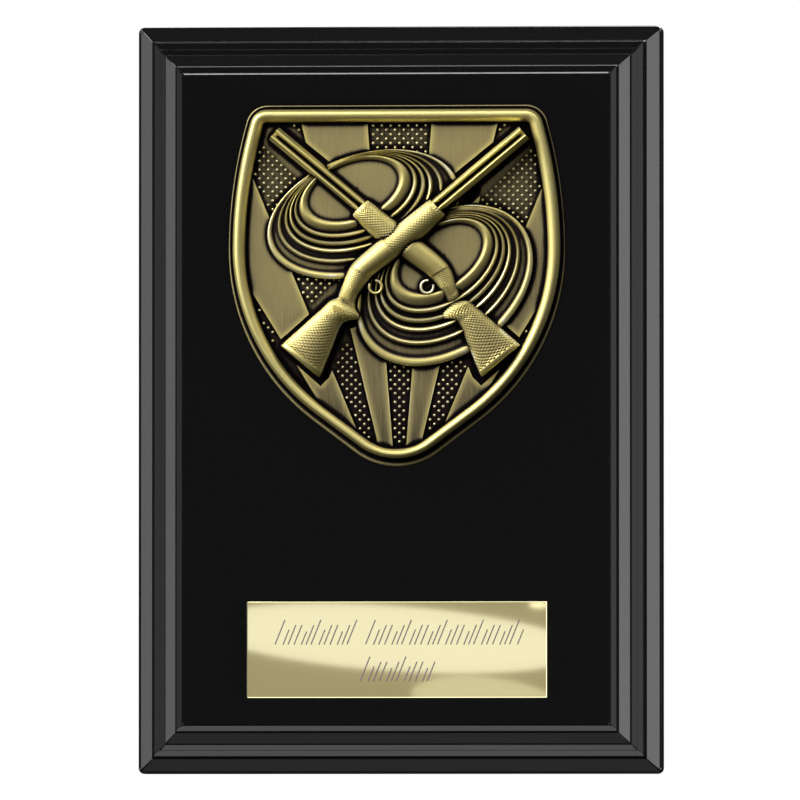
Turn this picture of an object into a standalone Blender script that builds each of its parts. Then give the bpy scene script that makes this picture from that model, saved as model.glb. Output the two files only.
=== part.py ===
"""A presentation plaque to hang on a wall, in three pieces: a moulded gloss
black body, a relief shield cast in one piece, and a brass engraving plate.

Metres, +Z up. The back lies on y = 0, the front faces -Y, and the origin is
the middle of the back.
"""

from math import atan2, cos, hypot, pi, radians, sin, sqrt

import bmesh
import bpy
from mathutils import Matrix, Vector

MM = 0.001

# Moulded body
BODY_WIDTH = 87.6 * MM
BODY_HEIGHT = 124.6 * MM
CORNER_BEVEL = 0.9 * MM
PANEL_LEVEL = 12.0 * MM
# The mitred border from the outer edge to the flat panel, each point as
# (distance in from the edge, height over the back).
BORDER = [
    (0.00, 3.60), (0.12, 3.88), (0.45, 4.05), (2.40, 5.50),
    (2.50, 5.65), (2.75, 6.75), (2.95, 6.95), (3.85, 7.10),
    (3.95, 7.25), (4.75, 7.40), (4.85, 7.50), (5.00, 8.60),
    (5.15, 8.75), (6.70, 9.95), (6.80, 10.05), (6.95, 11.10),
    (7.10, 11.25), (7.75, 11.40), (7.82, 11.50), (7.90, 11.80),
    (8.10, 12.00),
]

# Keyhole in the back, for the head of a wall screw
KEYHOLE_DEPTH = 5.0 * MM
KEYHOLE_ENTRY_RADIUS = 4.5 * MM
KEYHOLE_ENTRY_Z = 36.0 * MM
KEYHOLE_SLOT_RADIUS = 2.4 * MM
KEYHOLE_SLOT_Z = 44.0 * MM

# Engraving plate, a thin sheet stuck to the panel
PLATE_WIDTH = 50.0 * MM
PLATE_HEIGHT = 16.0 * MM
PLATE_THICKNESS = 0.6 * MM
PLATE_EDGE = 0.12 * MM
PLATE_X = 0.25 * MM
PLATE_Z = -41.7 * MM

# Pieces that rest on the panel stand this far off it
SEAT_GAP = 0.3 * MM

# Shield outline: a straight top, a corner, two long arcs that meet at the
# widest point, and a straight run down to a blunt tip
SHIELD_X = 0.25 * MM
SHIELD_TOP = 48.8 * MM
SHIELD_HALF_WIDTH = 28.05 * MM
WIDEST_Z = 24.7 * MM
CORNER_RADIUS = 3.6 * MM
UPPER_RADIUS = 78.0 * MM
LOWER_RADIUS = 35.5 * MM
LOWER_SLOPE = radians(37)
TIP_RADIUS = 11.4 * MM
# The rolled rim, each point as (distance in from the outline, height over the
# panel). It ends on the low ground of the sunburst.
RIM = [
    (0.00, 0.30), (0.00, 0.85), (0.12, 0.97), (0.55, 1.00),
    (0.75, 2.00), (1.05, 2.70), (1.55, 3.00), (2.20, 2.85),
    (2.70, 2.30), (3.00, 1.30),
]

# Levels of the relief over the panel
FOOT_LEVEL = 1.0 * MM
RAY_LEVEL = 1.6 * MM

# Sunburst: smooth rays from one point below the shield
ART_X = 0.75 * MM
FOCUS_Z = -22.4 * MM
RAY_REACH = 80.0 * MM
RAY_START = 9.0 * MM
RAYS = [(-31.5, -22.5), (-13.5, -4.5), (4.5, 13.5), (22.5, 31.5)]
RAY_INSET = 2.8 * MM

# Two clay discs seen aslant. Each is (x, z, long half, short half, tilt) of
# the outer edge and of the crest of the thick inner ring, from the axis of
# the artwork, with the levels of the lip, the ring and the flat middle.
CLAYS = [
    ((-5.97, 30.65, 16.6, 9.9, 18.5), (-7.63, 34.6, 8.8, 5.05, 21.0), (2.1, 2.9, 2.35)),
    ((7.60, 18.75, 16.2, 11.5, 37.0), (6.98, 23.3, 8.7, 5.2, 33.0), (2.4, 3.2, 2.65)),
]
# Ridges across the disc, from 0 at its edge to 1 at the inner ring, with the
# rise over the disc's slope. Ridges are low where they crowd together.
CLAY_PROFILE = [
    (0.02, -0.05), (0.05, 0.10), (0.10, 0.08), (0.15, -0.30), (0.28, -0.35),
    (0.33, 0.15), (0.42, -0.35), (0.52, 0.12), (0.585, -0.35), (0.65, 0.10),
    (0.72, -0.38), (0.795, 0.08), (0.88, -0.45), (0.96, 0.00), (1.06, 0.00),
]
CLAY_MIDDLE = 1.16
CLAY_SEGMENTS = 48
RIDGE_ROOM = 6.0 * MM

# Shotgun that points up to the right, from the axis of the artwork. A
# station is (upper edge x, z, lower edge x, z, crown over the foot).
BARRELS = [
    (19.99, 45.05, 21.65, 43.05, 3.45),
    (3.94, 31.65, 5.60, 29.65, 3.45),
]
STOCK = [
    (5.40, 32.70, 7.20, 30.90, 3.30),
    (4.70, 32.65, 7.40, 29.95, 4.05),
    (0.36, 29.30, 3.24, 26.00, 4.25),
    (-3.85, 25.80, -1.05, 22.75, 4.15),
    (-7.75, 22.30, -4.45, 20.20, 3.85),
    (-9.30, 19.10, -6.20, 18.10, 3.55),
    (-9.95, 17.40, -7.30, 16.20, 3.40),
    (-11.20, 16.35, -6.95, 13.90, 3.45),
    (-13.10, 14.70, -9.40, 12.45, 3.55),
    (-16.40, 11.75, -11.30, 8.20, 3.45),
    (-19.30, 9.20, -13.00, 4.10, 3.25),
    (-19.70, 8.80, -13.50, 3.65, 2.60),
]
STEPS_BETWEEN_STATIONS = 3
SHOULDER = 0.45
BARREL_GROOVE = 0.80
CROWN_POINTS = 8
# The gun behind lies lower, and from its receiver back it sits further out
BACK_GUN_DROP = 0.7 * MM
BACK_GUN_SHIFT = 0.45

# Ring of each trigger guard, from the axis of the artwork
FRONT_GUARD_X = -3.85
BACK_GUARD_X = 4.75
GUARD_Z = 18.50
GUARD_OUTER = 1.25 * MM
GUARD_INNER = 0.75 * MM
GUARD_CROWN = 2.7 * MM


def clear_scene():
    for item in list(bpy.data.objects):
        bpy.data.objects.remove(item, do_unlink=True)


def make_material(name, colour, roughness, metallic):
    material = bpy.data.materials.new(name)
    material.use_nodes = True
    shader = material.node_tree.nodes["Principled BSDF"]
    shader.inputs["Base Color"].default_value = (*colour, 1.0)
    shader.inputs["Roughness"].default_value = roughness
    shader.inputs["Metallic"].default_value = metallic
    return material


def add_object(name, bm, collection):
    """A mesh object from a bmesh, with its normals facing out."""
    bmesh.ops.recalc_face_normals(bm, faces=bm.faces)
    mesh = bpy.data.meshes.new(name)
    bm.to_mesh(mesh)
    bm.free()
    item = bpy.data.objects.new(name, mesh)
    collection.objects.link(item)
    return item


def combine(target, tool, operation):
    """Apply one Boolean to the target and keep the tool out of the model."""
    modifier = target.modifiers.new(tool.name, "BOOLEAN")
    modifier.operation = operation
    modifier.solver = "EXACT"
    modifier.object = tool
    depsgraph = bpy.context.evaluated_depsgraph_get()
    result = bpy.data.meshes.new_from_object(target.evaluated_get(depsgraph))
    target.modifiers.clear()
    target.data = result
    bpy.data.objects.remove(tool, do_unlink=True)


def loft(name, rings, collection):
    """A closed solid through rings that have the same number of points."""
    bm = bmesh.new()
    loops = [[bm.verts.new(point) for point in ring] for ring in rings]
    for lower, upper in zip(loops, loops[1:]):
        for i in range(len(lower)):
            j = (i + 1) % len(lower)
            bm.faces.new((lower[i], lower[j], upper[j], upper[i]))
    bm.faces.new(loops[0])
    bm.faces.new(loops[-1])
    return add_object(name, bm, collection)


def flat_solid(name, outline, back, front, collection):
    """A flat outline of (x, z) points, thick from one level to the other."""
    curve = bpy.data.curves.new(name, "CURVE")
    curve.dimensions = "2D"
    curve.fill_mode = "BOTH"
    curve.extrude = (front - back) / 2
    spline = curve.splines.new("POLY")
    spline.points.add(len(outline) - 1)
    for point, (x, z) in zip(spline.points, outline):
        point.co = (x, z, 0.0, 1.0)
    spline.use_cyclic_u = True
    drawn = bpy.data.objects.new(name + "_curve", curve)
    collection.objects.link(drawn)
    place = Matrix.Translation((0.0, -(front + back) / 2, 0.0)) @ Matrix.Rotation(pi / 2, 4, "X")
    depsgraph = bpy.context.evaluated_depsgraph_get()
    mesh = bpy.data.meshes.new_from_object(drawn.evaluated_get(depsgraph))
    bpy.data.objects.remove(drawn, do_unlink=True)
    bm = bmesh.new()
    bm.from_mesh(mesh)
    bpy.data.meshes.remove(mesh)
    bmesh.ops.transform(bm, matrix=place, verts=bm.verts)
    bmesh.ops.remove_doubles(bm, verts=bm.verts, dist=0.001 * MM)
    return add_object(name, bm, collection)


def arc(x, z, radius, start, end, steps):
    turns = [start + (end - start) * i / steps for i in range(steps + 1)]
    return [(x + radius * cos(turn), z + radius * sin(turn)) for turn in turns]


def stepped_block(name, collection):
    """The body: a slab whose front face is drawn in and up, step by step."""
    edge = BORDER[0][1] * MM
    bm = bmesh.new()
    bmesh.ops.create_cube(bm, size=1.0)
    bmesh.ops.scale(bm, vec=(BODY_WIDTH, edge, BODY_HEIGHT), verts=bm.verts)
    bmesh.ops.translate(bm, vec=(0.0, -edge / 2, 0.0), verts=bm.verts)
    front = min(bm.faces, key=lambda face: face.calc_center_median().y)
    for (x0, h0), (x1, h1) in zip(BORDER, BORDER[1:]):
        bmesh.ops.inset_region(bm, faces=[front], thickness=(x1 - x0) * MM,
                               depth=(h1 - h0) * MM, use_even_offset=True)
    corners = [e for e in bm.edges
               if all(abs(abs(v.co.x) - BODY_WIDTH / 2) < 1e-6
                      and abs(abs(v.co.z) - BODY_HEIGHT / 2) < 1e-6 for v in e.verts)]
    bmesh.ops.bevel(bm, geom=corners, offset=CORNER_BEVEL, affect="EDGES",
                    segments=4, profile=0.5, material=-1)
    return add_object(name, bm, collection)


def keyhole_outline():
    """A round entry with a narrower slot that runs up from it."""
    meet = sqrt(KEYHOLE_ENTRY_RADIUS ** 2 - KEYHOLE_SLOT_RADIUS ** 2)
    lean = atan2(meet, KEYHOLE_SLOT_RADIUS)
    entry = arc(0.0, KEYHOLE_ENTRY_Z, KEYHOLE_ENTRY_RADIUS, pi - lean, 2 * pi + lean, 24)
    slot = arc(0.0, KEYHOLE_SLOT_Z, KEYHOLE_SLOT_RADIUS, 0.0, pi, 10)
    return entry + slot


def make_body(collection):
    body = stepped_block("plaque_body", collection)
    cutter = flat_solid("keyhole", keyhole_outline(), -1.0 * MM, KEYHOLE_DEPTH, collection)
    combine(body, cutter, "DIFFERENCE")
    return body


def make_plate(collection):
    bm = bmesh.new()
    bmesh.ops.create_cube(bm, size=1.0)
    bmesh.ops.scale(bm, vec=(PLATE_WIDTH, PLATE_THICKNESS, PLATE_HEIGHT), verts=bm.verts)
    level = PANEL_LEVEL + SEAT_GAP + PLATE_THICKNESS / 2
    bmesh.ops.translate(bm, vec=(PLATE_X, -level, PLATE_Z), verts=bm.verts)
    plate = add_object("engraving_plate", bm, collection)
    edge = plate.modifiers.new("edge", "BEVEL")
    edge.width = PLATE_EDGE
    edge.segments = 2
    return plate


def shield_outline(inset):
    """The shield's outline drawn in by an inset, from the top left round."""
    upper_x = SHIELD_HALF_WIDTH - UPPER_RADIUS
    lower_x = SHIELD_HALF_WIDTH - LOWER_RADIUS
    corner_z = SHIELD_TOP - CORNER_RADIUS
    corner_x = upper_x + sqrt((UPPER_RADIUS - CORNER_RADIUS) ** 2 - (corner_z - WIDEST_Z) ** 2)
    corner_turn = atan2(corner_z - WIDEST_Z, corner_x - upper_x)
    tip_turn = LOWER_SLOPE - pi / 2
    run = lower_x * cos(tip_turn) + WIDEST_Z * sin(tip_turn) + LOWER_RADIUS
    tip_z = (run - TIP_RADIUS) / sin(tip_turn)
    right = arc(corner_x, corner_z, CORNER_RADIUS - inset, pi / 2, corner_turn, 6)
    right += arc(upper_x, WIDEST_Z, UPPER_RADIUS - inset, corner_turn, 0.0, 4)[1:]
    right += arc(lower_x, WIDEST_Z, LOWER_RADIUS - inset, 0.0, tip_turn, 9)[1:]
    right += arc(0.0, tip_z, TIP_RADIUS - inset, tip_turn, -pi / 2, 3)
    left = [(-x, z) for x, z in reversed(right[:-1])]
    return [(SHIELD_X + x, z) for x, z in right + left]


def at_level(outline, level):
    return [(x, -(PANEL_LEVEL + level), z) for x, z in outline]


def make_shield_blank(collection):
    rings = [at_level(shield_outline(inset * MM), level * MM) for inset, level in RIM]
    return loft("relief_shield", rings, collection)


def make_ray(start, end, collection):
    """One smooth ray, cut to the field inside the rim."""
    def along(turn, reach):
        return (ART_X + reach * sin(turn), FOCUS_Z + reach * cos(turn))

    start, end = radians(start), radians(end)
    wedge = [along(start, RAY_START), along(start, RAY_REACH),
             along(end, RAY_REACH), along(end, RAY_START)]
    back = PANEL_LEVEL + FOOT_LEVEL
    ray = flat_solid("ray", wedge, back, PANEL_LEVEL + RAY_LEVEL, collection)
    field = flat_solid("field", shield_outline(RAY_INSET), back - MM, back + 2 * MM, collection)
    combine(ray, field, "INTERSECT")
    return ray


def clay_ring(outer, inner, share):
    """The ellipse at a share of the way from the disc's edge to its ring."""
    mix = min(share, 1.0)
    x, z, wide, narrow, tilt = [a + (b - a) * mix for a, b in zip(outer, inner)]
    shrink = 1.0 - max(share - 1.0, 0.0)
    points = []
    for i in range(CLAY_SEGMENTS):
        turn = 2 * pi * i / CLAY_SEGMENTS
        u = wide * shrink * cos(turn)
        v = narrow * shrink * sin(turn)
        lean = radians(tilt)
        points.append((ART_X + (x + u * cos(lean) - v * sin(lean)) * MM,
                       (z + u * sin(lean) + v * cos(lean)) * MM))
    return points


def make_clay(outer, inner, levels, collection):
    lip, ring, middle = [level * MM for level in levels]
    edge = clay_ring(outer, inner, 0.0)
    crest = clay_ring(outer, inner, 1.0)
    room = [min(1.0, hypot(a[0] - b[0], a[1] - b[1]) / RIDGE_ROOM) for a, b in zip(edge, crest)]
    rings = [at_level(edge, FOOT_LEVEL)]
    for share, rise in CLAY_PROFILE:
        slope = lip + (ring - lip) * min(share, 1.0)
        rings.append([(x, -(PANEL_LEVEL + slope + rise * MM * free), z)
                      for (x, z), free in zip(clay_ring(outer, inner, share), room)])
    rings.append(at_level(clay_ring(outer, inner, CLAY_MIDDLE), middle))
    return loft("clay", rings, collection)


def smooth_stations(stations):
    """More stations on smooth curves through the given ones."""
    ends = [stations[0]] + stations + [stations[-1]]
    result = []
    for before, start, end, after in zip(ends, ends[1:], ends[2:], ends[3:]):
        for i in range(STEPS_BETWEEN_STATIONS):
            t = i / STEPS_BETWEEN_STATIONS
            result.append(tuple(
                b + t * (c - a) / 2 + t * t * (a - 2.5 * b + 2 * c - d / 2)
                + t ** 3 * (1.5 * (b - c) + (d - a) / 2)
                for a, b, c, d in zip(before, start, end, after)))
    return result + [stations[-1]]


def shift_back(stations):
    """The stations behind the forend moved away from the artwork's axis."""
    return [(a - BACK_GUN_SHIFT, b, c - BACK_GUN_SHIFT, d, crown) if a < 0.0
            else (a, b, c, d, crown) for a, b, c, d, crown in stations]


def gun_section(station, side, drop, barrels):
    """The outline across a gun at one station: a flat foot and a round top."""
    upper_x, upper_z, lower_x, lower_z, crown = station
    upper = Vector((ART_X + side * upper_x * MM, upper_z * MM))
    lower = Vector((ART_X + side * lower_x * MM, lower_z * MM))
    foot = -(PANEL_LEVEL + FOOT_LEVEL)
    section = [(lower.x, foot, lower.y)]
    for i in range(CROWN_POINTS + 1):
        turn = pi * i / CROWN_POINTS
        if barrels:
            low = BARREL_GROOVE if 2 * i == CROWN_POINTS else SHOULDER
            spot = lower.lerp(upper, i / CROWN_POINTS)
            rise = max(low, SHOULDER + (1.0 - SHOULDER) * abs(sin(2 * turn)))
        else:
            spot = lower.lerp(upper, (1.0 - cos(turn)) / 2)
            rise = SHOULDER + (1.0 - SHOULDER) * sin(turn)
        section.append((spot.x, foot - (crown * MM - drop) * rise, spot.y))
    section.append((upper.x, foot, upper.y))
    return section


def make_guard(x, drop, collection):
    """The ring of a trigger guard: a turned tube with a rounded rim."""
    crown = GUARD_CROWN - drop
    wall = (GUARD_OUTER - GUARD_INNER) / 2
    middle = (GUARD_OUTER + GUARD_INNER) / 2
    profile = [(GUARD_OUTER, 0.0), (GUARD_OUTER, crown - wall)]
    profile += [(middle + wall * cos(turn), crown - wall + wall * sin(turn))
                for turn in (pi / 4, pi / 2, 3 * pi / 4)]
    profile += [(GUARD_INNER, crown - wall), (GUARD_INNER, 0.0)]
    bm = bmesh.new()
    loops = []
    for radius, rise in profile:
        circle = arc(ART_X + x * MM, GUARD_Z * MM, radius, 0.0, 2 * pi, 16)[:-1]
        loops.append([bm.verts.new(point) for point in at_level(circle, FOOT_LEVEL + rise)])
    for lower, upper in zip(loops, loops[1:] + loops[:1]):
        for i in range(len(lower)):
            j = (i + 1) % len(lower)
            bm.faces.new((lower[i], lower[j], upper[j], upper[i]))
    return add_object("guard", bm, collection)


def make_gun(side, drop, stations, guard_x, collection):
    barrels = [gun_section(station, side, drop, True) for station in BARRELS]
    stock = [gun_section(station, side, drop, False) for station in smooth_stations(stations)]
    return [
        loft("barrels", barrels, collection),
        loft("stock", stock, collection),
        make_guard(guard_x, drop, collection),
    ]


def make_shield(collection):
    """The casting: blank, rays, discs and guns joined into one solid."""
    shield = make_shield_blank(collection)
    parts = [make_ray(start, end, collection) for start, end in RAYS]
    parts += [make_clay(outer, inner, levels, collection) for outer, inner, levels in CLAYS]
    parts += make_gun(-1, BACK_GUN_DROP, shift_back(STOCK), BACK_GUARD_X, collection)
    parts += make_gun(1, 0.0, STOCK, FRONT_GUARD_X, collection)
    for part in parts:
        combine(shield, part, "UNION")
    return shield


def main():
    clear_scene()
    plaque = bpy.data.collections.new("presentation_plaque")
    bpy.context.scene.collection.children.link(plaque)
    pieces = [
        (make_body(plaque), make_material("gloss black plastic", (0.006, 0.006, 0.006), 0.12, 0.0)),
        (make_shield(plaque), make_material("antique gold casting", (0.42, 0.36, 0.16), 0.38, 1.0)),
        (make_plate(plaque), make_material("polished brass", (0.78, 0.68, 0.38), 0.15, 1.0)),
    ]
    for piece, material in pieces:
        piece.data.materials.clear()
        piece.data.materials.append(material)


main()
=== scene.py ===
"""A presentation plaque: a gloss black moulded body, a cast relief shield in
antique gold and an engraved brass plate, with its studio.

Metres, +Z up. The back lies on y = 0 and the front faces -Y.
"""

from math import atan2, cos, hypot, pi, radians, sin, sqrt

import bmesh
import bpy
import numpy
from mathutils import Matrix, Vector
from mathutils.bvhtree import BVHTree


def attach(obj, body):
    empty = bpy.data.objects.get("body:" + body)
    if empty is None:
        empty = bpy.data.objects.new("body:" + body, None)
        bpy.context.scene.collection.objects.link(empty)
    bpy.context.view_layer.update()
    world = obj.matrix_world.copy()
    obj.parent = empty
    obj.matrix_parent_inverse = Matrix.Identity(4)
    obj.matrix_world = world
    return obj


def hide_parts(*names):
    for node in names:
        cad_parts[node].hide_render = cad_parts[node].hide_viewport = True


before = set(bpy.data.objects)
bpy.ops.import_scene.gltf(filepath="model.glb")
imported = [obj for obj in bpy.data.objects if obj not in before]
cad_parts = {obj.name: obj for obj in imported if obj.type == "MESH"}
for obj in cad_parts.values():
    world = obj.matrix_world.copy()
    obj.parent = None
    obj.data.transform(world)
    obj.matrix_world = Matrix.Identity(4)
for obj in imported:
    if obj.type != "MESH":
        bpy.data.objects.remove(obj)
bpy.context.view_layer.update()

MM = 0.001

# Camera: a long lens, a little to the right of the plaque and just below it
CAMERA_TURN = 5.0
CAMERA_RISE = -1.5
CAMERA_DISTANCE = 3.0
CAMERA_TARGET = (0.0, -0.004, 0.0)
VIEW_WIDTH = 133.33 * MM
SENSOR = 36.0

# Floor under the plaque, and the light over it
FLOOR_HALF = 3.0
FLOOR_Z = -0.12
FLOOR_LIGHT_WIDTH = 5.0
FLOOR_LIGHT_Z = 2.0

# Moulded body
BODY_WIDTH = 87.6 * MM
BODY_HEIGHT = 124.6 * MM
# The outer corners are round, and the steps inside them meet almost sharply
CORNER_RADIUS = 1.0 * MM
MITRE_RADIUS = 0.22 * MM
CORNER_STEPS = 8
PANEL_LEVEL = 12.0 * MM
# The mitred border from the outer edge to the flat panel, each point as
# (distance in from the edge, height over the back).
BORDER = [
    (0.00, 3.60), (0.12, 3.88), (0.45, 4.05), (2.45, 5.53),
    (2.50, 5.65), (2.78, 6.88), (2.98, 6.96), (3.88, 7.10),
    (3.93, 7.25), (4.80, 7.41), (4.85, 7.52), (5.02, 8.68),
    (5.18, 8.78), (6.76, 9.98), (6.80, 10.07), (6.97, 11.20),
    (7.12, 11.26), (7.96, 11.42), (7.99, 11.52), (8.05, 11.78),
    (8.28, 12.00),
]
# How far each corner of that profile is cut back, in millimetres
EDGE_ROUNDING = 0.020
CREASE = radians(38)

# Keyhole in the back, for the head of a wall screw
KEYHOLE_DEPTH = 5.0 * MM
OVERCUT = 1.0 * MM
KEYHOLE_ENTRY_RADIUS = 4.5 * MM
KEYHOLE_ENTRY_Z = 36.0 * MM
KEYHOLE_SLOT_RADIUS = 2.4 * MM
KEYHOLE_SLOT_Z = 44.0 * MM

# Engraving plate
PLATE_WIDTH = 50.0 * MM
PLATE_HEIGHT = 16.0 * MM
PLATE_THICKNESS = 0.6 * MM
PLATE_EDGE = 0.12 * MM
PLATE_X = 0.25 * MM
PLATE_Z = -41.7 * MM
SEAT_GAP = 0.3 * MM
# Engraved groups of strokes: (start x, end x, foot z, height) in millimetres
# from the plate's middle
STROKE_ROWS = [(-20.0, -7.4, 0.7, 4.4), (-4.9, 21.5, 0.7, 4.4), (-5.8, 6.5, -5.4, 4.4)]
STROKE_PITCH = 1.0
STROKE_LENGTHS = [1.0, 0.62, 0.80, 0.80, 0.55, 0.80]
STROKE_LEAN = radians(22)
STROKE_RADIUS = 0.14 * MM
STROKE_DEPTH = 0.06 * MM

# Shield outline
SHIELD_X = 0.25 * MM
SHIELD_TOP = 48.8 * MM
SHIELD_HALF_WIDTH = 28.05 * MM
WIDEST_Z = 24.7 * MM
SHOULDER_RADIUS = 3.6 * MM
UPPER_RADIUS = 78.0 * MM
LOWER_RADIUS = 35.5 * MM
LOWER_SLOPE = radians(37)
TIP_RADIUS = 11.4 * MM
# The flange and the rolled rim, each point as (distance in from the outline,
# height over the panel).
RIM = [
    (0.00, 0.30), (0.00, 0.85), (0.04, 0.94), (0.12, 0.99), (0.30, 1.02), (0.54, 0.97),
    (0.62, 1.05), (0.68, 1.50), (0.76, 1.95), (0.88, 2.35), (1.05, 2.68), (1.25, 2.88),
    (1.52, 2.98), (1.86, 2.95), (2.18, 2.82), (2.46, 2.60), (2.68, 2.30), (2.84, 1.95),
    (2.94, 1.55), (3.00, 1.00),
]
RIM_WIDTH = 3.0 * MM
RIM_FLANGE = 0.5 * MM
# At the tip the roll gives up this share of its width to the flange
RIM_TAPER = 0.25
RELIEF_CREASE = radians(50)

# Levels of the relief over the panel
FOOT_LEVEL = 1.0 * MM
GROUND_LEVEL = 1.25 * MM
RAY_LEVEL = 1.6 * MM
# The field runs in under the roll, and its sheets reach below the ground
FIELD_INSET = 2.7 * MM
FIELD_HEADROOM = 4.0 * MM
GROUND_THICKNESS = 0.6 * MM
RAY_ROOT = 0.4 * MM
CELL = 0.32 * MM

# Sunburst
RAY_CELL = 0.25 * MM
RAY_ACROSS = 20
ART_X = 0.75 * MM
FOCUS_Z = -22.4 * MM
RAY_REACH = 76.0 * MM
RAY_START = 9.0 * MM
RAYS = [(-31.5, -22.5), (-13.5, -4.5), (4.5, 13.5), (22.5, 31.5)]
# Pimples on the rough ground, on a square lattice turned by 45 degrees
PIMPLE_PITCH = 1.46 * MM
PIMPLE_ROW = 0.73 * MM
PIMPLE_RADIUS = 0.27 * MM
PIMPLE_HEIGHT = 0.48 * MM
PIMPLE_CLEARANCE = 1.5 * MM
PIMPLE_RIM_GAP = 0.55 * MM
PIMPLE_RAY_GAP = 0.42 * MM
FIRST_PIMPLE_ROW = 3.4 * MM
# The gap to a ray is reckoned no nearer to the focus than this
FOCUS_ROOM = 5.0 * MM

# Two clay discs seen aslant. Each is (x, z, long half, short half, tilt) of
# the outer edge and of the crest of the thick inner ring, from the axis of
# the artwork, with the levels of the lip, the ring and the flat middle.
CLAYS = [
    ((-5.97, 30.65, 16.6, 9.9, 18.5), (-7.63, 34.6, 8.8, 5.05, 21.0), (2.1, 2.9, 2.35)),
    ((7.60, 18.75, 16.2, 11.5, 37.0), (6.98, 23.3, 8.7, 5.2, 33.0), (2.4, 3.2, 2.65)),
]
CLAY_STEPS = 168
CLAY_LIP = 0.065
LIP_HALF = 0.085
CLAY_RIDGES = [0.33, 0.52, 0.65, 0.795]
RIDGE_HALF = 0.050
# In millimetres: how far the slope lies sunk and how high the lip and the
# ridges rise from it
SLOPE_SINK = 0.40
LIP_RISE = 0.52
RIDGE_RISE = 0.56
# Where the disc is foreshortened to less than this, its ridges are lower
RIDGE_ROOM = 6.0 * MM
# The thick ring lies between these shares of the way, over a groove
RING_FROM = 0.86
RING_TO = 1.15
RING_HALF = 0.125
RING_GROOVE = 0.45

# Shotgun that points up to the right, from the axis of the artwork. A
# station is (upper edge x, z, lower edge x, z, crown over the foot).
BARRELS = [
    (19.99, 45.05, 21.65, 43.05, 3.45),
    (3.94, 31.65, 5.60, 29.65, 3.45),
]
STOCK = [
    (5.40, 32.70, 7.20, 30.90, 3.30),
    (4.70, 32.65, 7.40, 29.95, 4.05),
    (0.36, 29.30, 3.24, 26.00, 4.24),
    (-3.85, 25.80, -1.05, 22.75, 4.15),
    (-7.75, 22.30, -4.45, 20.20, 3.85),
    (-9.30, 19.10, -6.20, 18.10, 3.55),
    (-9.95, 17.40, -7.25, 16.30, 3.10),
    (-10.25, 16.75, -7.15, 15.10, 2.85),
    (-11.55, 16.15, -6.75, 13.35, 3.55),
    (-13.10, 14.70, -9.40, 12.45, 3.55),
    (-16.40, 11.75, -11.30, 8.20, 3.45),
    (-19.30, 9.20, -13.00, 4.10, 3.25),
    (-19.70, 8.80, -13.50, 3.65, 2.60),
]
# Checkered stretches of the stock, counted in stations
CHECKERED = [(0.7, 2.75), (4.1, 10.9)]
CHECKERED_FROM = 0.10 * pi
CHECKERED_TO = 0.88 * pi
CHECKER_STEP = 0.14 * MM
CHECKER_RISE = 0.24 * MM
STOCK_ACROSS = 44
BARREL_ACROSS = 24
BARREL_STEP = 0.8 * MM
SHOULDER = 0.45
BARREL_GROOVE = 0.68
BACK_GUN_DROP = 0.7 * MM
BACK_GUN_SHIFT = 0.45
MOAT_ABOVE = 0.85 * MM
MOAT_BELOW = 1.4 * MM
MOAT_ENDS = 0.8 * MM

# Trigger guards, from the axis of the artwork
FRONT_GUARD_X = -3.85
BACK_GUARD_X = 4.75
GUARD_Z = 18.50
GUARD_RADIUS = 1.05 * MM
GUARD_WIRE = 0.21 * MM
GUARD_CROWN = 2.6 * MM
GUARD_SWEEP = radians(300)
BACK_GUARD_DROP = 0.3 * MM

# Patina: the grid the relief is felt on, the two reaches over which a point
# is set against what is round it, and the rise that is rubbed bright.
PATINA_STEP = 0.125 * MM
PATINA_MARGIN = 4.0 * MM
PATINA_NEAR = 0.375 * MM
PATINA_WIDE = 2.0 * MM
PATINA_NEAR_RISE = 0.22 * MM
PATINA_WIDE_RISE = 4.6 * MM
# A neighbour counts for no more than this over the mean round it
PATINA_CLIP = 0.42 * MM
PATINA_CLIP_CELLS = 3
# The level that the brush feels round the casting, and where it starts from
PATINA_ROUND = 0.7 * MM
BRUSH_REACH = 18.0 * MM


def linear(hex_colour):
    """An sRGB hex colour as linear red, green, blue and alpha."""
    values = [int(hex_colour[i:i + 2], 16) / 255 for i in (1, 3, 5)]
    return [v / 12.92 if v <= 0.04045 else ((v + 0.055) / 1.055) ** 2.4 for v in values] + [1.0]


def add_node(tree, kind, settings=None, **links):
    """A node with its settings, input values and links."""
    node = tree.nodes.new(kind)
    for name, value in (settings or {}).items():
        if isinstance(name, int) or name in node.inputs:
            node.inputs[name].default_value = value
        else:
            setattr(node, name, value)
    for name, source in links.items():
        tree.links.new(source, node.inputs[name.replace("_", " ")])
    return node


def new_object(name, bm, fix_normals=True):
    """An object at the origin from a bmesh, with its faces turned out."""
    if fix_normals:
        bmesh.ops.recalc_face_normals(bm, faces=bm.faces)
        if bm.calc_volume(signed=True) < 0.0:
            bmesh.ops.reverse_faces(bm, faces=bm.faces)
    mesh = bpy.data.meshes.new(name)
    bm.to_mesh(mesh)
    bm.free()
    item = bpy.data.objects.new(name, mesh)
    bpy.context.scene.collection.objects.link(item)
    return item


def combine(target, tool, operation, solver="MANIFOLD"):
    """Apply one Boolean to the target and drop the tool."""
    modifier = target.modifiers.new(tool.name, "BOOLEAN")
    modifier.operation = operation
    modifier.solver = solver
    if solver == "EXACT":
        modifier.material_mode = "TRANSFER"
    modifier.object = tool
    depsgraph = bpy.context.evaluated_depsgraph_get()
    result = bpy.data.meshes.new_from_object(target.evaluated_get(depsgraph))
    target.modifiers.clear()
    old = target.data
    target.data = result
    bpy.data.meshes.remove(old)
    bpy.data.objects.remove(tool, do_unlink=True)


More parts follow.
